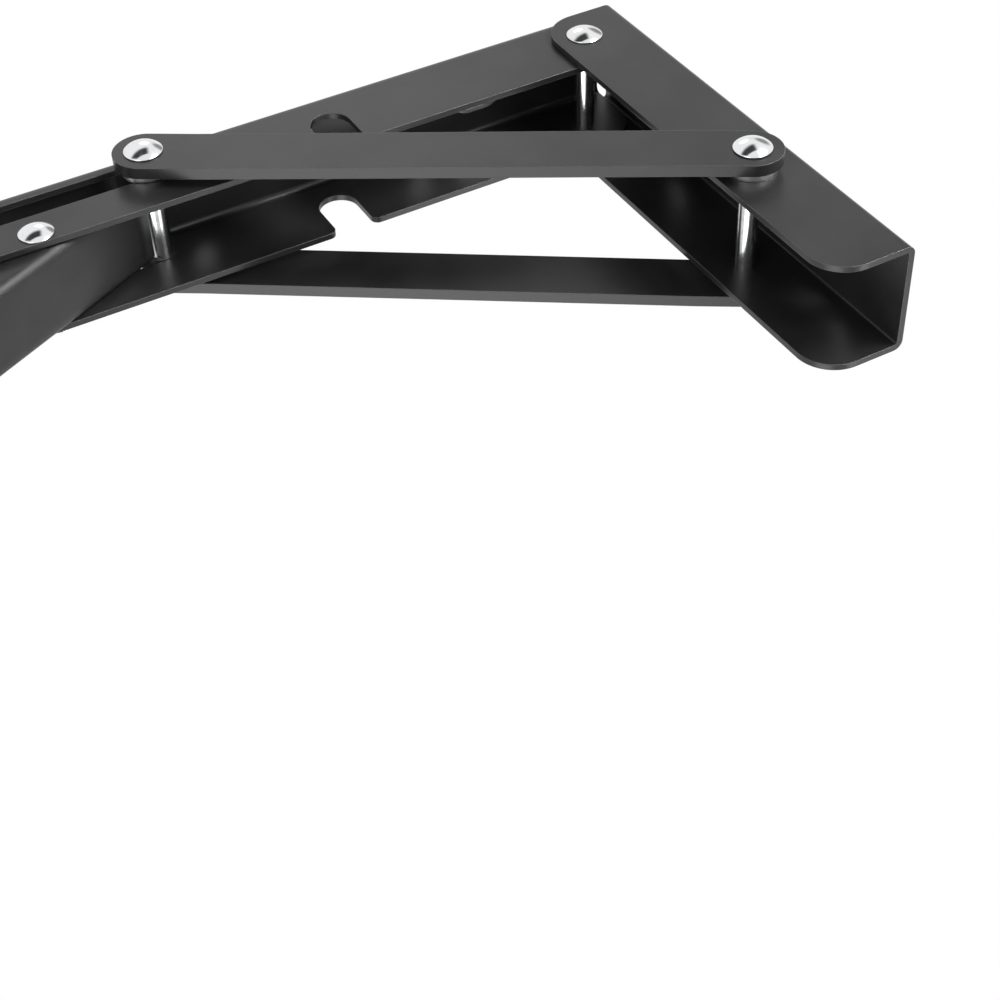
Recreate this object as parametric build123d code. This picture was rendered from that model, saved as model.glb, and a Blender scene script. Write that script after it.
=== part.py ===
from build123d import *
import math
import os

# Folding shelf bracket, shown open. All sizes are in millimetres.
# The wall is the plane X = 0, the shelf arm points along +X, and the pins lie along Y.
# The origin is on the wall, midway between the two wall screw holes.

# Sheet metal
sheet = 1.6
wall_inside_bend = 0.8
shelf_inside_bend = 1.6
corner_round = 10.0

# Wall arm: a channel with its web on the wall
wall_width = 30.0
wall_depth = 23.4
wall_height = 131.2
wall_hole = 9.0
wall_hole_pitch = 73.0
top_hole_drop = 26.5

# Corner pivot, seen from the wall face, and the wall arm's end above it
hinge_x = 15.0
hinge_z = wall_hole_pitch / 2 + top_hole_drop
wall_top = 10.5

# Shelf arm: a narrower channel that turns between the wall arm's flanges
arm_gap = 0.15
shelf_width = wall_width - 2 * (sheet + arm_gap)
shelf_depth = 24.2
shelf_length = 250.0
shelf_face = 13.2
shelf_back = 11.2
screw_hole = 7.0
screw_hole_start = 45.7
screw_hole_pitch = 63.5
screw_hole_count = 3
oval_centre = 27.0
oval_width = 10.4
oval_length = 15.2

# Pivots, measured from the corner pivot: along the shelf arm, then up
link_pivot_x = -1.0
link_pivot_z = -75.5
slide_x = 123.1
slide_z = 4.6
lever_x = 155.6
lever_z = -6.6

# Rivets, spacer tubes, washers and the bushes that run in the slots
shank_radius = 1.9
running_fit = 0.05
side_gap = 0.1
tube_radius = 2.6
slide_tube_radius = 3.1
link_head_radius = 4.9
link_head_height = 2.2
corner_head_radius = 4.8
lever_head_radius = 4.4
small_head_height = 1.9
head_top_share = 0.66
wall_washer_radius = 6.3
slide_washer_radius = 6.2
bush_radius = 3.75
slot_clearance = 0.1

# Link bars: flat bars, set inwards so that both ends lie flat on their washers
link_width = 15.4
link_thick = 3.1
link_low_stand_off = 2.7
link_high_stand_off = 2.35
link_eye_flat = 12.0

# Notches that take the lower pin's tube when the bracket is folded
notch_width = 10.4
notch_mouth_round = 2.0

# Release lever
lever_sheet = 1.5
lever_inside_bend = 0.3
lever_half_width = 11.0
lever_angle = 27.0
lever_web_drop = 6.5
lever_flange_top = 1.5
lever_ear_radius = 6.0
lever_inner_reach = 30.5
lever_hand_reach = 58.0
lever_hand_round = 5.0
nose_clearance = 0.25

# Places that follow from the sizes above
wall_half = wall_width / 2
shelf_half = shelf_width / 2
link_inner_low = wall_half + link_low_stand_off
link_inner_high = shelf_half + link_high_stand_off
link_pitch = math.hypot(slide_x - link_pivot_x, slide_z - link_pivot_z)
fold_radius = math.hypot(link_pivot_x, link_pivot_z)
slide_end = -link_pivot_z + math.sqrt(link_pitch ** 2 - (slide_z - link_pivot_x) ** 2)
slide_travel = slide_end - slide_x
link_open = math.degrees(math.atan2(slide_x - link_pivot_x, slide_z - link_pivot_z))
link_folded = math.degrees(math.atan2(slide_z - link_pivot_x, -slide_end - link_pivot_z))
link_swing = link_folded - link_open
hinge = Pos(hinge_x, 0, hinge_z)
link_pivot = hinge * Pos(link_pivot_x, 0, link_pivot_z)
slide_pivot = hinge * Pos(slide_x, 0, slide_z)
lever_pivot = hinge * Pos(lever_x, 0, lever_z)
through = 4 * wall_width

os.makedirs("parts", exist_ok=True)


def save(name, shape):
    """Give the solid its name and write it."""
    solids = shape.solids()
    assert len(solids) == 1, name
    piece = solids[0]
    piece.label = name
    export_step(piece, f"parts/{name}.step")


def side_plate(face, width=through):
    """A face drawn in X and Z, made as thick as width along Y and centred on Y = 0."""
    return extrude(Plane.XZ * face, amount=width / 2, both=True)


def pin_along_y(radius, low, high):
    """A cylinder along Y from low to high."""
    return Pos(0, (low + high) / 2, 0) * Rot(90, 0, 0) * Cylinder(radius, high - low)


def ring_along_y(outer, inner, low, high):
    """A tube or washer along Y."""
    return pin_along_y(outer, low, high) - pin_along_y(inner, low - 1, high + 1)


def channel_section(width, depth, thickness, bend):
    """A channel's section, bent to an inside radius: web on X = 0, flanges towards +X."""
    outer = Pos(depth / 2, 0) * Rectangle(depth, width)
    outer = fillet(outer.vertices().group_by(Axis.X)[0], bend + thickness)
    inner = Pos(thickness + depth / 2, 0) * Rectangle(depth, width - 2 * thickness)
    inner = fillet(inner.vertices().group_by(Axis.X)[0], bend)
    return outer - inner


def head(radius, height, seat):
    """A button head that sits on the plane Y = seat and points along +Y."""
    button = Cone(radius, head_top_share * radius, height)
    return Pos(0, seat + height / 2, 0) * Rot(-90, 0, 0) * button


def mirrored(shape):
    """The same piece on the other side of the bracket."""
    return mirror(shape, about=Plane.XZ)


def rivet(head_radius, head_height, seat):
    """A shank with a head at each end; seat is where the heads bear, from the middle."""
    cap = head(head_radius, head_height, seat)
    return pin_along_y(shank_radius, -seat, seat) + cap + mirrored(cap)


def wall_arm():
    """The short channel on the wall, with large rounds at the flanges' four corners."""
    low = hinge_z + wall_top - wall_height
    section = channel_section(wall_width, wall_depth, sheet, wall_inside_bend)
    body = Pos(0, 0, low) * extrude(section, amount=wall_height)
    outline = Pos(wall_depth / 2, low + wall_height / 2) * Rectangle(wall_depth, wall_height)
    outline = fillet(outline.vertices().group_by(Axis.X)[-1], corner_round)
    outline -= Pos(hinge_x, hinge_z) * Circle(shank_radius)
    outline -= Pos(hinge_x + link_pivot_x, hinge_z + link_pivot_z) * Circle(shank_radius)
    body &= side_plate(outline)
    for place in (-wall_hole_pitch / 2, wall_hole_pitch / 2):
        body -= Pos(0, 0, place) * Rot(0, 90, 0) * Cylinder(wall_hole / 2, 4 * sheet)
    return body


def shelf_side_outline():
    """The shelf arm seen from the side: rounded ends, the notch, the slot and the pivots."""
    low = shelf_face - shelf_depth
    middle = Pos(shelf_length / 2 - shelf_back, shelf_face - shelf_depth / 2)
    outline = middle * Rectangle(shelf_length, shelf_depth)
    outline = fillet(outline.vertices().group_by(Axis.Y)[0], corner_round)
    notch_depth = link_pivot_x - low
    notch = Pos(fold_radius, link_pivot_x) * Circle(notch_width / 2)
    notch += Pos(fold_radius, link_pivot_x - notch_depth) * Rectangle(notch_width, 2 * notch_depth)
    outline -= notch
    mouth = [v for v in outline.vertices().group_by(Axis.Y)[0]
             if abs(abs(v.X - fold_radius) - notch_width / 2) < 0.01]
    outline = fillet(mouth, notch_mouth_round)
    slot_width = 2 * (bush_radius + slot_clearance)
    outline -= Pos(slide_x + slide_travel / 2, slide_z) * SlotCenterToCenter(slide_travel, slot_width)
    outline -= Circle(shank_radius + running_fit)
    outline -= Pos(lever_x, lever_z) * Circle(shank_radius)
    return outline


def shelf_arm():
    """The long channel under the shelf: web on top, flanges down."""
    section = channel_section(shelf_width, shelf_depth, sheet, shelf_inside_bend)
    body = Rot(0, 90, 0) * extrude(section, amount=shelf_length)
    body = Pos(-shelf_back, 0, shelf_face) * body
    body &= side_plate(shelf_side_outline())
    for number in range(screw_hole_count):
        along = screw_hole_start + number * screw_hole_pitch
        body -= Pos(along, 0, shelf_face) * Cylinder(screw_hole / 2, 4 * sheet)
    oval = SlotOverall(oval_length, oval_width)
    body -= Pos(oval_centre, 0, shelf_face - 2 * sheet) * extrude(oval, amount=4 * sheet)
    return hinge * body


def link_bar():
    """One bar on the +Y side, along +X from its lower eye, then turned to its place."""
    outline = Pos(link_pitch / 2, 0) * SlotCenterToCenter(link_pitch, link_width)
    for along in (0, link_pitch):
        outline -= Pos(along, 0) * Circle(shank_radius + running_fit)
    low_eye = (-link_width, link_inner_low)
    low_set = (link_eye_flat, link_inner_low)
    high_set = (link_pitch - link_eye_flat, link_inner_high)
    high_eye = (link_pitch + link_width, link_inner_high)
    inner = [low_eye, low_set, high_set, high_eye]
    outer = [(along, side + link_thick) for along, side in reversed(inner)]
    edge = make_face(Polyline(*inner, *outer, close=True))
    bar = extrude(edge, amount=link_width, both=True) & side_plate(outline)
    return link_pivot * Rot(0, link_open - 90, 0) * bar


def lever_side_outline():
    """The lever seen from the side, with its pivot at the origin and its web below it."""
    length = lever_inner_reach + lever_hand_reach
    height = lever_web_drop + lever_flange_top
    middle = Pos((lever_hand_reach - lever_inner_reach) / 2, (lever_flange_top - lever_web_drop) / 2)
    outline = middle * Rectangle(length, height)
    hand_corner = outline.vertices().sort_by(lambda v: v.X + v.Y)[-1]
    outline = fillet(hand_corner, height * 0.6)
    outline += Circle(lever_ear_radius)
    ear_reach = math.sqrt(lever_ear_radius ** 2 - lever_flange_top ** 2)
    joins = [v for v in outline.vertices() if abs(v.Y - lever_flange_top) < 0.01
             and abs(abs(v.X) - ear_reach) < 0.01]
    outline = fillet(joins, lever_ear_radius)
    return outline - Circle(shank_radius + running_fit)


def release_lever():
    """The hand lever: a small channel that turns inside the shelf arm."""
    length = lever_inner_reach + lever_hand_reach
    depth = lever_web_drop + lever_ear_radius
    section = channel_section(2 * lever_half_width, depth, lever_sheet, lever_inside_bend)
    body = Rot(0, -90, 0) * extrude(section, amount=-length)
    body = Pos(-lever_inner_reach, 0, -lever_web_drop) * body
    body &= side_plate(lever_side_outline())
    plan = Pos((lever_hand_reach - lever_inner_reach) / 2, 0) * Rectangle(length, 2 * lever_half_width)
    plan = fillet(plan.vertices().group_by(Axis.X)[-1], lever_hand_round)
    body &= Pos(0, 0, -through / 2) * extrude(plan, amount=through)
    body = lever_pivot * Rot(0, lever_angle, 0) * body
    path_floor = hinge_z + slide_z - slide_tube_radius - nose_clearance
    above_path = Pos(hinge_x + slide_x, 0, path_floor + through / 2) * Box(through / 2, through, through)
    return body - above_path


# Channels
save("wall_arm", wall_arm())
save("shelf_arm", shelf_arm())
save("release_lever", release_lever())

# Link bars, one on each side
bar = link_bar()
save("link_left", bar)
save("link_right", mirrored(bar))

# Corner pivot: the rivet is fast in the wall arm, and its tube spans the shelf arm
shelf_inside = shelf_half - sheet
save("corner_rivet", hinge * rivet(corner_head_radius, small_head_height, wall_half))
corner_tube = ring_along_y(tube_radius, shank_radius + running_fit, -shelf_inside, shelf_inside)
save("corner_tube", hinge * corner_tube)

# Lower pivot: rivet, tube between the wall arm's flanges, and a washer under each link
low_seat = link_inner_low + link_thick + side_gap
wall_inside = wall_half - sheet
save("wall_rivet", link_pivot * rivet(link_head_radius, link_head_height, low_seat))
wall_tube = ring_along_y(tube_radius, shank_radius + running_fit, -wall_inside, wall_inside)
save("wall_tube", link_pivot * wall_tube)
washer_low, washer_high = wall_half, link_inner_low - side_gap
washer = ring_along_y(wall_washer_radius, shank_radius + running_fit, washer_low, washer_high)
save("wall_washer_left", link_pivot * washer)
save("wall_washer_right", link_pivot * mirrored(washer))

# Sliding pin: a shank with its tube, a bush in each slot and a washer outside each bush
washer_face = link_inner_high - side_gap
bush_end = shelf_half + side_gap
tube_end = shelf_inside - side_gap
pin_end = washer_face - side_gap
save("slide_pin", slide_pivot * pin_along_y(shank_radius, -pin_end, pin_end))
slide_tube = ring_along_y(slide_tube_radius, shank_radius + running_fit, -tube_end, tube_end)
save("slide_tube", slide_pivot * slide_tube)
bush = ring_along_y(bush_radius, shank_radius + running_fit, tube_end, bush_end)
save("slide_bush_left", slide_pivot * bush)
save("slide_bush_right", slide_pivot * mirrored(bush))
washer = ring_along_y(slide_washer_radius, shank_radius + running_fit, bush_end, washer_face)
save("slide_washer_left", slide_pivot * washer)
save("slide_washer_right", slide_pivot * mirrored(washer))

# The sliding pin's heads ride in the links' upper eyes
high_seat = link_inner_high + link_thick
slide_head = pin_along_y(shank_radius, link_inner_high, high_seat)
slide_head += head(link_head_radius, link_head_height, high_seat)
save("slide_head_left", slide_pivot * slide_head)
save("slide_head_right", slide_pivot * mirrored(slide_head))

# Lever pivot: the rivet is fast in the shelf arm, and the tube spans the lever
lever_inside = lever_half_width - lever_sheet
save("lever_rivet", lever_pivot * rivet(lever_head_radius, small_head_height, shelf_half))
lever_tube = ring_along_y(tube_radius, shank_radius + running_fit, -lever_inside, lever_inside)
save("lever_tube", lever_pivot * lever_tube)

print("link pitch", round(link_pitch, 4))
print("slide travel", round(slide_travel, 4))
print("link swing in degrees", round(link_swing, 4))
print("link turn for each fold degree", round(link_swing / 90, 6))
print("slide metres for each fold radian", round(slide_travel / 1000 / math.radians(90), 6))
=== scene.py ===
import bpy
import numpy as np
from mathutils import Matrix, Vector


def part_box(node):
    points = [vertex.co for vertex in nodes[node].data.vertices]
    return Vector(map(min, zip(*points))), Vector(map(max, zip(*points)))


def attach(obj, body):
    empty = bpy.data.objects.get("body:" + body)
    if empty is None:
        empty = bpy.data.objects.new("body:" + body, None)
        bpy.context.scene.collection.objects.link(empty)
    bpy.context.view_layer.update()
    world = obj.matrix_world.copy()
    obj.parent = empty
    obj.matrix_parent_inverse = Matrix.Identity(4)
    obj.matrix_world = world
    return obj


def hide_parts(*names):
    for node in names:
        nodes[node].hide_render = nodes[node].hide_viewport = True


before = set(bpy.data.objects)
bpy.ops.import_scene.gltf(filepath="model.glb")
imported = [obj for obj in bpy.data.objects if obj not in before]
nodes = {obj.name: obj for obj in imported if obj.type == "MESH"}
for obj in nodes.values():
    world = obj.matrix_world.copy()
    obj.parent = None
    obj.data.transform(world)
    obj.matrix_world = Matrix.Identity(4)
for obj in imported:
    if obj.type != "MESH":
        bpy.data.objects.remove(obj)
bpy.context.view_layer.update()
print("frame loaded,", len(nodes), "pieces")

scene = bpy.context.scene
scene.view_settings.view_transform = "Standard"


# Camera and studio

cameraSetup = {
    "place": (0.254228, 0.277211, -0.329766),  # metres, below the open arm and to one side
    # the ways that are right, down and ahead in the picture
    "right": (-0.870063, -0.028838, -0.492097),
    "down": (0.355028, -0.729213, -0.584982),
    "ahead": (-0.341974, -0.683679, 0.644699),
    "lens": 69.761,  # millimetres, as the sensor is
    "sensor": 36.0,
    "clip": (0.01, 100.0),
}

studio = {
    "floorDrop": 1.7,  # metres below the bracket's origin
    "floorSize": 80.0,
    "floorColour": (0.92, 0.92, 0.92, 1),
    "floorGlow": 0.92,  # how far the floor's seen colour goes to plain white
    "white": (1, 1, 1, 1),
    "skyLight": 0.42,  # the world's light on matt surfaces
    "background": 1.0,  # what the camera and mirrors see of it
    # a dim wedge that bright metal mirrors, by the ways to its three corners
    "wedge": ((-0.47, 0.72, 0.51), (0.78, 0.55, 0.30), (-0.08, 0.73, -0.68)),
    "wedgeEdge": 0.23,  # how far in from its sides it comes to its full depth
    "wedgeDepth": 0.95,
    # a round dim patch on the wall's side: the way to it, the cosines at its rim and where it is full
    "patch": (-0.76, 0.38, 0.53),
    "patchReach": (0.945, 0.995),
    "patchDepth": 0.70,
    "aim": (0.09, 0.0, 0.0),  # what the lamps point at
}

# each lamp by its way from the aim, its distance, its width and its watts
# a lamp that isn't mirrored leaves no bright spot on metal or paint
lamps = {
    "frontLamp": {"way": (0.10, 1.00, -0.25), "away": 1.10, "size": 0.9, "power": 1.9,
                  "mirrored": False},
    "topLamp": {"way": (-0.26, 0.53, 0.81), "away": 1.10, "size": 0.36, "power": 0.25},
    "sideLamp": {"way": (0.85, 0.25, -0.50), "away": 1.10, "size": 0.8, "power": 4.0},
    "underLamp": {"way": (0.55, -0.62, -0.55), "away": 0.90, "size": 0.6, "power": 2.9},
    "lowLamp": {"way": (-0.34, 0.645, -0.68), "away": 1.00, "size": 0.4, "power": 2.4},
    "backLamp": {"way": (-0.41, -0.51, -0.76), "away": 1.00, "size": 0.3, "power": 1.2},
    "wallLamp": {"way": (-0.55, 0.79, -0.28), "away": 0.88, "size": 0.40, "power": 9.0},
}


def addCamera(setup):
    data = bpy.data.cameras.new("photoCamera")
    camera = bpy.data.objects.new("photoCamera", data)
    scene.collection.objects.link(camera)
    data.lens = setup["lens"]
    data.sensor_width = setup["sensor"]
    data.clip_start, data.clip_end = setup["clip"]
    right, down, ahead = (Vector(setup[key]) for key in ("right", "down", "ahead"))
    turn = Matrix((right, -down, -ahead)).transposed()
    camera.matrix_world = Matrix.Translation(setup["place"]) @ turn.to_4x4()
    scene.camera = camera


def addLamp(name, setup):
    data = bpy.data.lights.new(name, "AREA")
    data.shape = "DISK"
    data.size = setup["size"]
    data.energy = setup["power"]
    lamp = bpy.data.objects.new(name, data)
    scene.collection.objects.link(lamp)
    way = Vector(setup["way"]).normalized()
    place = Vector(studio["aim"]) + way * setup["away"]
    turn = (-way).to_track_quat("-Z", "Y").to_matrix().to_4x4()
    lamp.matrix_world = Matrix.Translation(place) @ turn
    lamp.visible_glossy = setup.get("mirrored", True)


# Shader maths

class Value:
    # one socket of a shader tree, where + - and * add their Math nodes
    def __init__(self, shader, socket):
        self.shader = shader
        self.socket = socket

    def maths(self, operation, first, second):
        return self.shader.add("ShaderNodeMath", {"operation": operation}, {0: first, 1: second}).out()

    def __add__(self, other):
        return self.maths("ADD", self, other)

    def __radd__(self, other):
        return self.maths("ADD", other, self)

    def __sub__(self, other):
        return self.maths("SUBTRACT", self, other)

    def __rsub__(self, other):
        return self.maths("SUBTRACT", other, self)

    def __mul__(self, other):
        return self.maths("MULTIPLY", self, other)

    def __rmul__(self, other):
        return self.maths("MULTIPLY", other, self)

    def larger(self, other):
        return self.maths("MAXIMUM", self, other)

    def swing(self, width):
        # a noise from 0 to 1, made to run this wide about nought
        return (self - 0.5) * width


class Step:
    # one added node, and the values that come out of it
    def __init__(self, shader, node):
        self.shader = shader
        self.node = node

    def out(self, name=0):
        return Value(self.shader, self.node.outputs[name])


class Shader:
    # a material's or the world's node tree
    def __init__(self, owner):
        owner.use_nodes = True
        self.tree = owner.node_tree
        self.tree.nodes.clear()

    def add(self, kind, settings=None, inputs=None):
        node = self.tree.nodes.new(kind)
        for key, value in (settings or {}).items():
            setattr(node, key, value)
        for key, value in (inputs or {}).items():
            if isinstance(value, Value):
                self.tree.links.new(value.socket, node.inputs[key])
            else:
                node.inputs[key].default_value = value
        return Step(self, node)

    def mixColour(self, factor, first, second):
        # sockets 6 and 7 take the two colours, and 2 gives the mixed one
        inputs = {0: factor, 6: first, 7: second}
        return self.add("ShaderNodeMix", {"data_type": "RGBA"}, inputs).out(2)

    def mixShader(self, factor, first, second):
        return self.add("ShaderNodeMixShader", {}, {0: factor, 1: first, 2: second}).out()

    def smooth(self, value, low, high):
        inputs = {"Value": value, "From Min": low, "From Max": high}
        return self.add("ShaderNodeMapRange", {"interpolation_type": "SMOOTHSTEP"}, inputs).out()

    def place(self):
        return self.add("ShaderNodeTexCoord").out("Object")

    def noise(self, vector, scale, detail=2.0, roughness=0.5):
        inputs = {"Vector": vector, "Scale": scale, "Detail": detail, "Roughness": roughness}
        return self.add("ShaderNodeTexNoise", {}, inputs).out()

    def dot(self, first, second):
        inputs = {0: first, 1: second}
        return self.add("ShaderNodeVectorMath", {"operation": "DOT_PRODUCT"}, inputs).out("Value")

    def nearness(self, way, spot):
        # cosine of the angle between a direction and a spot's direction
        return self.dot(way, Vector(spot).normalized())

    def rounded(self, radius, samples=6):
        # the normal, turned as if edges were rounded off by this radius
        return self.add("ShaderNodeBevel", {"samples": samples}, {"Radius": radius}).out()

    def leaning(self, normal):
        # 0 on flat metal, up to 1 where a rounded normal leaves the true one
        true = self.add("ShaderNodeNewGeometry").out("True Normal")
        return 1 - self.dot(normal, true)

    def bump(self, setup, height, normal=None):
        inputs = {"Strength": setup["bumpStrength"], "Distance": setup["bumpDepth"], "Height": height}
        if normal:
            inputs["Normal"] = normal
        return self.add("ShaderNodeBump", {}, inputs).out()

    def finish(self, surface, target="ShaderNodeOutputMaterial"):
        self.add(target, {}, {"Surface": surface})

    def coat(self, inputs):
        self.finish(self.add("ShaderNodeBsdfPrincipled", {}, inputs).out())


def addWorld(setup):
    # matt surfaces get the even sky light, and the camera and mirrors see plain white, which is
    # dimmed for mirrors in the wedge and the patch: the wedge is the product of three smooth
    # steps, each rising inwards from the plane through the bracket and two of the corners
    world = bpy.data.worlds.new("studioWorld")
    scene.world = world
    shader = Shader(world)
    rays = shader.add("ShaderNodeLightPath")
    mirrored = rays.out("Is Glossy Ray")
    seen = rays.out("Is Camera Ray").larger(rays.out("Is Transmission Ray")).larger(mirrored)
    way = shader.add("ShaderNodeTexCoord").out("Generated")
    corners = [Vector(corner).normalized() for corner in setup["wedge"]]
    middle = sum(corners, Vector())
    wedge = setup["wedgeDepth"]
    for corner, after in zip(corners, corners[1:] + corners[:1]):
        side = corner.cross(after).normalized()
        inward = side if side.dot(middle) > 0 else -side
        wedge = shader.smooth(shader.nearness(way, inward), 0.0, setup["wedgeEdge"]) * wedge
    patch = shader.smooth(shader.nearness(way, setup["patch"]), *setup["patchReach"])
    dim = wedge.larger(patch * setup["patchDepth"]) * mirrored
    sky = shader.add("ShaderNodeBackground", {}, {
        "Color": setup["white"],
        "Strength": setup["skyLight"],
    }).out()
    plain = shader.add("ShaderNodeBackground", {}, {
        "Color": setup["white"],
        "Strength": (1 - dim) * setup["background"],
    }).out()
    shader.finish(shader.mixShader(seen, sky, plain), "ShaderNodeOutputWorld")


def addFloor(setup):
    # a pale square whose seen colour is mostly plain white, with the bracket's shadow in the rest
    half = setup["floorSize"] / 2
    drop = -setup["floorDrop"]
    mesh = bpy.data.meshes.new("studioFloor")
    corners = [(-half, -half, drop), (half, -half, drop), (half, half, drop), (-half, half, drop)]
    mesh.from_pydata(corners, [], [(0, 1, 2, 3)])
    floor = bpy.data.objects.new("studioFloor", mesh)
    scene.collection.objects.link(floor)
    material = bpy.data.materials.new("studioFloor")
    shader = Shader(material)
    rays = shader.add("ShaderNodeLightPath")
    seen = rays.out("Is Camera Ray").larger(rays.out("Is Glossy Ray")) * setup["floorGlow"]
    matt = shader.add("ShaderNodeBsdfDiffuse", {}, {"Color": setup["floorColour"]}).out()
    glow = shader.add("ShaderNodeEmission", {}, {"Color": setup["white"], "Strength": 1.0}).out()
    shader.finish(shader.mixShader(seen, matt, glow))
    mesh.materials.append(material)


addCamera(cameraSetup)
addWorld(studio)
addFloor(studio)
for name, setup in lamps.items():
    addLamp(name, setup)
print("camera, lamps and floor ready")


# Finishes, with scales per metre, radii and depths in metres

paint = {
    "dark": (0.0130, 0.0130, 0.0140, 1),
    "light": (0.0195, 0.0195, 0.0205, 1),
    "cloudScale": 55.0,  # slow drift between dark and light
    "cloudReach": (0.35, 0.7),
    "edge": (0.24, 0.24, 0.242, 1),  # lighter on sharp edges: partly the coat worn thin, partly a painted highlight along them
    "edgeRadius": 0.0003,
    "edgeReach": (0.04, 0.28),
    "edgeDepth": 0.7,
    "bendSheen": (0.075, 0.075, 0.076, 1),  # painted highlight: a lighter colour on the lever's bends, standing for their glint
    "bendRadius": 0.0036,
    "bendReach": (0.05, 0.25),
    "roughness": 0.34,
    "cloudSwing": 0.08,
    "grainSwing": 0.12,
    "grainScale": 2600.0,  # powder grain
    "grainHeight": 0.6,
    "peelScale": 420.0,  # slow waves of a baked coat
    "peelHeight": 1.6,
    "bumpStrength": 0.35,
    "bumpDepth": 0.00002,
    "specular": 0.42,
}

chrome = {
    "colour": (0.82, 0.825, 0.835, 1),
    "stain": (0.66, 0.665, 0.68, 1),
    "stainScale": 380.0,
    "stainReach": (0.52, 0.78),
    "stainDepth": 0.6,
    "roughness": 0.11,
    "stainSwing": 0.10,
    "scratchScale": 5200.0,
    "scratchSwing": 0.04,
    "scratchHeight": 0.3,
    "edgeRadius": 0.0002,
    "bumpStrength": 0.15,
    "bumpDepth": 0.00001,
}

washerSteel = {
    **chrome,
    "colour": (0.80, 0.805, 0.815, 1),
    "stain": (0.62, 0.625, 0.64, 1),
    "roughness": 0.33,
    "stainSwing": 0.08,
    "edgeRadius": 0.0011,
}

zinc = {
    "colour": (0.66, 0.665, 0.675, 1),
    "stain": (0.50, 0.505, 0.52, 1),
    "stainScale": 300.0,
    "stainReach": (0.4, 0.75),
    "roughness": 0.20,
    "stainSwing": 0.1,
    "stainHeight": 0.4,
    "ringScale": 3200.0,  # turning marks round the pins
    "ringSwing": 0.12,
    "bumpStrength": 0.3,
    "bumpDepth": 0.00001,
}

nylon = {
    "colour": (0.022, 0.022, 0.023, 1),
    "rubbed": (0.04, 0.04, 0.041, 1),
    "rubbedScale": 240.0,
    "rubbedReach": (0.35, 0.7),
    "roughness": 0.45,
    "rubbedSwing": 0.2,
    "grainScale": 4200.0,
    "bumpStrength": 0.3,
    "bumpDepth": 0.00001,
}


def paintFinish(name, setup, softBendsAndSheen=False):
    material = bpy.data.materials.new(name)
    shader = Shader(material)
    place = shader.place()
    cloud = shader.noise(place, setup["cloudScale"], detail=3.0)
    grain = shader.noise(place, setup["grainScale"])
    peel = shader.noise(place, setup["peelScale"], detail=1.0)
    rounded = shader.rounded(setup["edgeRadius"])
    # the edge mask paints both wear and a highlight along sharp edges
    wornAndSheen = shader.smooth(shader.leaning(rounded), *setup["edgeReach"]) * setup["edgeDepth"]
    colour = shader.mixColour(shader.smooth(cloud, *setup["cloudReach"]), setup["dark"], setup["light"])
    if softBendsAndSheen:
        # painted highlight: the lever's bends get a lighter colour as well as rounded normals
        rounded = shader.rounded(setup["bendRadius"])
        bendSheenMask = shader.smooth(shader.leaning(rounded), *setup["bendReach"])
        colour = shader.mixColour(bendSheenMask, colour, setup["bendSheen"])
    swing = cloud.swing(setup["cloudSwing"]) + grain.swing(setup["grainSwing"])
    height = grain * setup["grainHeight"] + peel * setup["peelHeight"]
    shader.coat({
        "Base Color": shader.mixColour(wornAndSheen, colour, setup["edge"]),
        "Roughness": setup["roughness"] + swing,
        "Normal": shader.bump(setup, height, rounded),
        "Specular IOR Level": setup["specular"],
    })
    return material


def chromeFinish(name, setup):
    material = bpy.data.materials.new(name)
    shader = Shader(material)
    place = shader.place()
    cloud = shader.noise(place, setup["stainScale"], detail=3.0, roughness=0.6)
    scratch = shader.noise(place, setup["scratchScale"], roughness=0.6)
    mark = shader.smooth(cloud, *setup["stainReach"])
    swing = mark * setup["stainSwing"] + scratch.swing(setup["scratchSwing"])
    height = cloud + scratch * setup["scratchHeight"]
    shader.coat({
        "Base Color": shader.mixColour(mark * setup["stainDepth"], setup["colour"], setup["stain"]),
        "Roughness": setup["roughness"] + swing,
        "Normal": shader.bump(setup, height, shader.rounded(setup["edgeRadius"])),
        "Metallic": 1.0,
    })
    return material


def zincFinish(name, setup):
    # the rings are a noise that changes only along the pins, which lie along Y
    material = bpy.data.materials.new(name)
    shader = Shader(material)
    place = shader.place()
    axes = shader.add("ShaderNodeSeparateXYZ", {}, {0: place})
    along = shader.add("ShaderNodeCombineXYZ", {}, {"Y": axes.out("Y")}).out()
    rings = shader.noise(along, setup["ringScale"], roughness=0.7)
    cloud = shader.noise(place, setup["stainScale"], detail=3.0)
    mark = shader.smooth(cloud, *setup["stainReach"])
    swing = rings.swing(setup["ringSwing"]) + cloud.swing(setup["stainSwing"])
    shader.coat({
        "Base Color": shader.mixColour(mark, setup["colour"], setup["stain"]),
        "Roughness": setup["roughness"] + swing,
        "Normal": shader.bump(setup, rings + cloud * setup["stainHeight"]),
        "Metallic": 1.0,
    })
    return material


def nylonFinish(name, setup):
    material = bpy.data.materials.new(name)
    shader = Shader(material)
    place = shader.place()
    cloud = shader.noise(place, setup["rubbedScale"])
    grain = shader.noise(place, setup["grainScale"])
    mark = shader.smooth(cloud, *setup["rubbedReach"])
    shader.coat({
        "Base Color": shader.mixColour(mark, setup["colour"], setup["rubbed"]),
        "Roughness": setup["roughness"] + cloud.swing(setup["rubbedSwing"]),
        "Normal": shader.bump(setup, grain),
    })
    return material


blackPaint = paintFinish("blackPowderCoat", paint)
leverPaint = paintFinish("leverPowderCoat", paint, softBendsAndSheen=True)
brightChrome = chromeFinish("brightChrome", chrome)
satinSteel = chromeFinish("satinSteel", washerSteel)
turnedZinc = zincFinish("turnedZinc", zinc)
blackNylon = nylonFinish("blackNylon", nylon)

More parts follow.
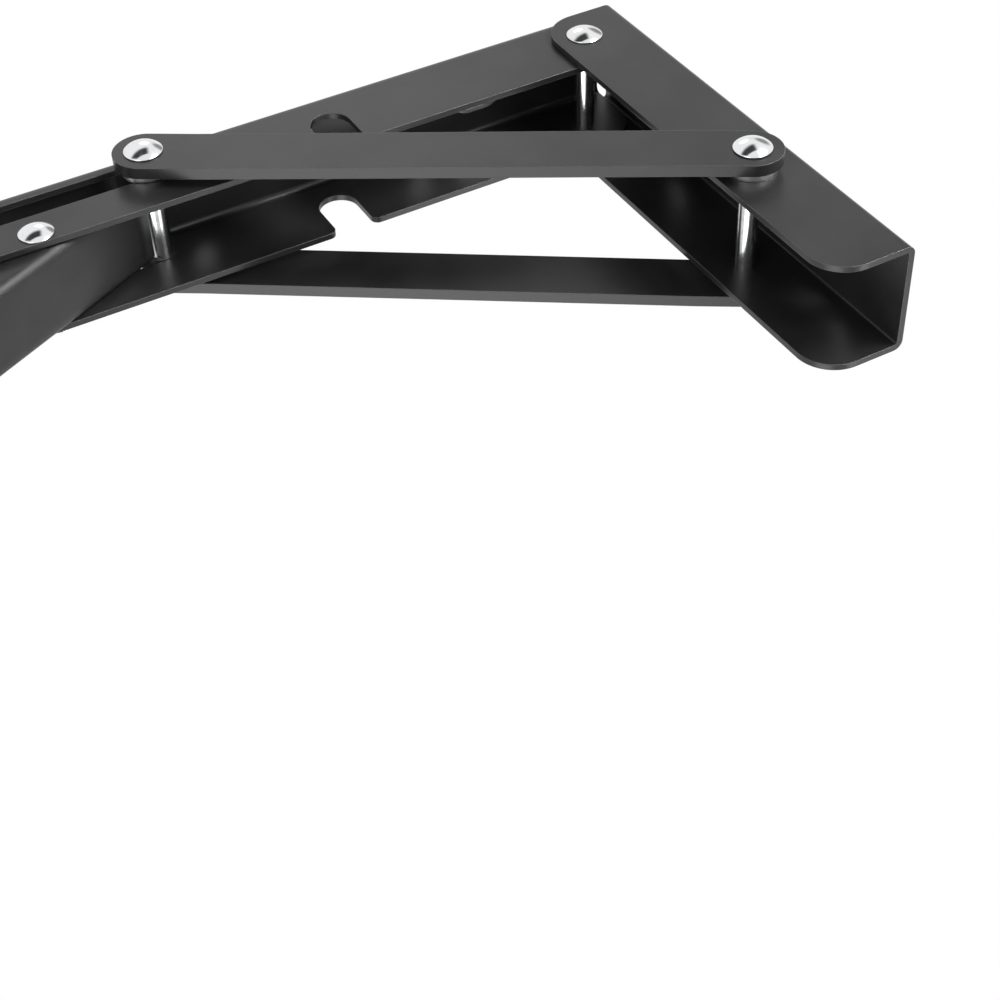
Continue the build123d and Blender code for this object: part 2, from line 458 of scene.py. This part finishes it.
finishes = (
    (blackPaint, ("wall_arm", "shelf_arm", "link_left", "link_right")),
    (leverPaint, ("release_lever",)),
    (brightChrome, ("corner_rivet", "wall_rivet", "lever_rivet", "slide_head_left", "slide_head_right")),
    (satinSteel, ("wall_washer_left", "wall_washer_right", "slide_washer_left", "slide_washer_right")),
    (turnedZinc, ("corner_tube", "wall_tube", "slide_tube", "lever_tube", "slide_pin")),
    (blackNylon, ("slide_bush_left", "slide_bush_right")),
)
for material, names in finishes:
    for name in names:
        slots = nodes[name].data.materials
        slots.clear()
        slots.append(material)
print("finishes on", len(nodes), "pieces")


# Rivets

rivetShape = {
    "bigHeight": 0.0022,  # metres, the heads of the wall rivet and the sliding pin
    "smallHeight": 0.0019,
    "shank": 0.0019,  # radius of the bar that carries the heads
    "rim": 0.24,  # share of a head's height under its cap
    "undercut": 0.0006,  # how far the foot stands in from the rim
    "capInset": 0.35,  # share of that by which the cap's edge stands in
    "roundStart": 0.9,  # radians, where the rim's round leaves the cap
    "roundSteps": 9,
    "rings": 20,  # from the middle of the cap to its edge
    "around": 96,
    "sharpAngle": 0.7,  # radians
}

# new piece, the node it stands for, its body, its heads' height and which ends along Y have one
rivets = (
    ("cornerRivet", "corner_rivet", "wall_side", "smallHeight", "both"),
    ("wallRivet", "wall_rivet", "wall_side", "bigHeight", "both"),
    ("leverRivet", "lever_rivet", "shelf_side", "smallHeight", "both"),
    ("slideHeadLeft", "slide_head_left", "links", "bigHeight", "high"),
    ("slideHeadRight", "slide_head_right", "links", "bigHeight", "low"),
)


def domeProfile(radius, height, setup):
    # pairs of distance from the axis and height above the seat: the cap falls as a ball's
    # circle does, and a small round turns from the cap's edge to the foot on the seat
    rim = height * setup["rim"]
    under = setup["undercut"]
    cap = height - rim
    edge = radius - under * setup["capInset"]
    ball = (edge ** 2 + cap ** 2) / (2 * cap)
    out = edge * np.sin(np.linspace(0, 1, setup["rings"]) * np.pi / 2)
    crown = rim + np.sqrt(ball ** 2 - out ** 2) - (ball - cap)
    turn = np.linspace(setup["roundStart"], -np.pi / 2, setup["roundSteps"])[1:]
    foot = np.stack([radius - under * (1 - np.cos(turn)), rim * (1 + np.sin(turn)) / 2], 1)
    return np.concatenate([np.stack([out, crown], 1), foot])


def rivetProfile(radius, low, high, height, heads, setup):
    # pairs of distance from the axis and place along it, from the low end to the high one:
    # a head is the dome with its foot on the bar, and a bare end is the flat shank
    dome = domeProfile(radius, height, setup)
    shank = setup["shank"]
    top = np.array([[0, high], [shank, high]])
    bottom = np.array([[0, low], [shank, low]])
    if heads != "low":
        seat = high - height
        top = np.concatenate([np.stack([dome[:, 0], seat + dome[:, 1]], 1), [[shank, seat]]])
    if heads != "high":
        seat = low + height
        bottom = np.concatenate([np.stack([dome[:, 0], seat - dome[:, 1]], 1), [[shank, seat]]])
    return np.concatenate([bottom, top[::-1]])


def lathe(name, profile, centre, setup):
    # the profile carried round Y: a point of a ring lies r cos a and r sin a from the centre,
    # with a its share of a full turn, and the profile's two ends are the poles that close it
    around = setup["around"]
    turn = np.linspace(0, 2 * np.pi, around, endpoint=False)
    body = profile[1:-1]
    x = centre[0] + body[:, 0:1] * np.cos(turn)
    z = centre[2] + body[:, 0:1] * np.sin(turn)
    y = np.broadcast_to(body[:, 1:2], x.shape)
    rings = np.stack([x, y, z], 2).reshape(-1, 3)
    poles = [[centre[0], profile[end, 1], centre[2]] for end in (0, -1)]
    first = np.arange(around)
    after = (first + 1) % around
    down = np.arange(len(body) - 1)[:, None] * around
    below = down + around
    quads = np.stack([down + first, down + after, below + after, below + first], 2).reshape(-1, 4)
    startPole = np.full(around, len(rings))
    last = len(rings) - around
    startCap = np.stack([startPole, after, first], 1)
    endCap = np.stack([startPole + 1, last + first, last + after], 1)
    mesh = bpy.data.meshes.new(name)
    faces = quads.tolist() + startCap.tolist() + endCap.tolist()
    mesh.from_pydata(rings.tolist() + poles, [], faces)
    mesh.shade_smooth()
    mesh.set_sharp_from_angle(angle=setup["sharpAngle"])
    piece = bpy.data.objects.new(name, mesh)
    scene.collection.objects.link(piece)
    return piece


def addRivet(name, node, body, height, heads, setup):
    low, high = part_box(node)
    radius = (high.x - low.x) / 2
    profile = rivetProfile(radius, low.y, high.y, height, heads, setup)
    piece = lathe(name, profile, (low + high) / 2, setup)
    piece.data.materials.append(brightChrome)
    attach(piece, body)
    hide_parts(node)


for name, node, body, height, heads in rivets:
    addRivet(name, node, body, rivetShape[height], heads, rivetShape)
print("rivets made")
